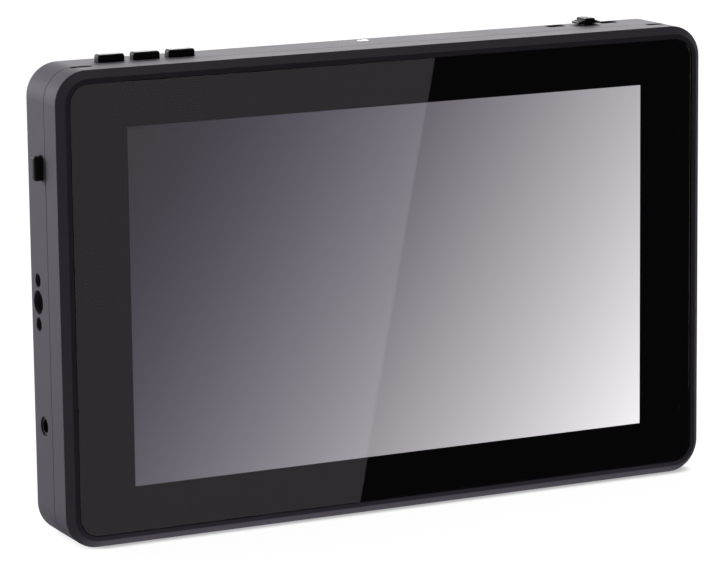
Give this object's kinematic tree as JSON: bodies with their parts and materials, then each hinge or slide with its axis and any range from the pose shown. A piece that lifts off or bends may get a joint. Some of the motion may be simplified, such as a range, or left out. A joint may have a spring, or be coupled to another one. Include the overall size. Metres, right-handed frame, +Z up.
{
  "type": "camera field monitor",
  "caption": "Slim seven inch camera field monitor with glass front, top keys, menu lever, side tripod socket, cooling fan and battery plate, standing on its lower edge.",
  "frame": {"origin": "mouth centre of the tripod thread in the middle of the bottom face", "axes": "+X to the right seen from the screen, +Y from the screen to the back, +Z up"},
  "size_m": [0.1912, 0.0296, 0.1266],
  "materials": {
    "casing": "fine matte black anodised",
    "cover_glass": "polished",
    "black_film": "printed black",
    "tape": "foam tape",
    "display": "polarising film with a plain grey picture",
    "light_guide": "clear acrylic with white film",
    "sheet_steel": "galvanised",
    "clear_plastic": "clear",
    "white_lens": "translucent white",
    "middle_aluminium": "milled",
    "circuit_board": "green solder mask",
    "chip": "moulded",
    "black_aluminium": "black anodised",
    "socket_steel": "plated shell",
    "socket_plastic": "moulded",
    "ribbon": "polyimide film",
    "key_plastic": "moulded",
    "white_plastic": "acetal",
    "fan_plastic": "glass filled",
    "mount_plastic": "moulded",
    "brass_contact": "gold plated",
    "spring_steel": "bright",
    "screw_steel": "black zinc",
    "inner_screw_steel": "nickel"
  },
  "bodies": {
    "casing": {"front_frame": "casing", "rear_shell": "casing", "cover_glass": "cover_glass", "border_mask": "black_film", "glass_tape": "tape", "display_cell": "display", "light_guide": "light_guide", "light_tray": "sheet_steel", "status_light_pipe": "clear_plastic", "middle_plate": "middle_aluminium", "main_board": "circuit_board", "processor": "chip", "board_chips": "chip", "heat_sink": "black_aluminium", "picture_input_socket": "socket_steel", "picture_output_socket": "socket_steel", "data_socket": "socket_steel", "power_inlet": "socket_plastic", "headphone_socket": "socket_plastic", "panel_ribbon": "ribbon", "key_ribbon": "ribbon", "lever_ribbon": "ribbon", "key_board": "circuit_board", "key_switches": "chip", "power_key_board": "circuit_board", "power_key_switch": "chip", "lever_board": "circuit_board", "lever_switch": "chip", "signal_window": "white_lens", "fan_frame": "fan_plastic", "battery_plate": "mount_plastic", "contact_block": "mount_plastic", "battery_contacts": "brass_contact", "latch_spring": "spring_steel", "latch_bracket": "sheet_steel", "casing_screws": "screw_steel", "board_screws": "inner_screw_steel", "key_board_screws": "inner_screw_steel", "fan_screws": "inner_screw_steel", "plate_screws": "screw_steel"},
    "top_key_1": {"top_key_1": "key_plastic"},
    "top_key_2": {"top_key_2": "key_plastic"},
    "top_key_3": {"top_key_3": "key_plastic"},
    "power_key": {"power_key": "key_plastic"},
    "lever_slider": {"lever_slider": "white_plastic"},
    "lever_cap": {"lever_cap": "key_plastic"},
    "fan_rotor": {"fan_rotor": "fan_plastic"},
    "battery_latch": {"battery_latch": "key_plastic"}
  },
  "joints": [
    {"name": "press_top_key_1", "type": "slide", "parent": "casing", "child": "top_key_1", "axis": [0, 0, -1], "range_m": [0, 0.0005], "stiffness_N_per_m": 400, "springref_m": -0.0005},
    {"name": "press_top_key_2", "type": "slide", "parent": "casing", "child": "top_key_2", "axis": [0, 0, -1], "range_m": [0, 0.0005], "stiffness_N_per_m": 400, "springref_m": -0.0005},
    {"name": "press_top_key_3", "type": "slide", "parent": "casing", "child": "top_key_3", "axis": [0, 0, -1], "range_m": [0, 0.0005], "stiffness_N_per_m": 400, "springref_m": -0.0005},
    {"name": "press_power_key", "type": "slide", "parent": "casing", "child": "power_key", "axis": [1, 0, 0], "range_m": [0, 0.0005], "stiffness_N_per_m": 400, "springref_m": -0.0005},
    {"name": "menu_lever_shift", "type": "slide", "parent": "casing", "child": "lever_slider", "axis": [1, 0, 0], "range_m": [-0.0015, 0.0015], "stiffness_N_per_m": 300},
    {"name": "menu_lever_push", "type": "slide", "parent": "lever_slider", "child": "lever_cap", "axis": [0, 0, -1], "range_m": [0, 0.0004], "stiffness_N_per_m": 400, "springref_m": -0.0004},
    {"name": "fan_spin", "type": "hinge", "parent": "casing", "child": "fan_rotor", "pos_m": [0.05, -0.0003, 0.0623], "axis": [0, 1, 0], "continuous": true},
    {"name": "release_battery_latch", "type": "slide", "parent": "casing", "child": "battery_latch", "axis": [0, -1, 0], "range_m": [0, 0.0022], "stiffness_N_per_m": 500, "springref_m": -0.002, "deforming": ["latch_spring"]}
  ]
}
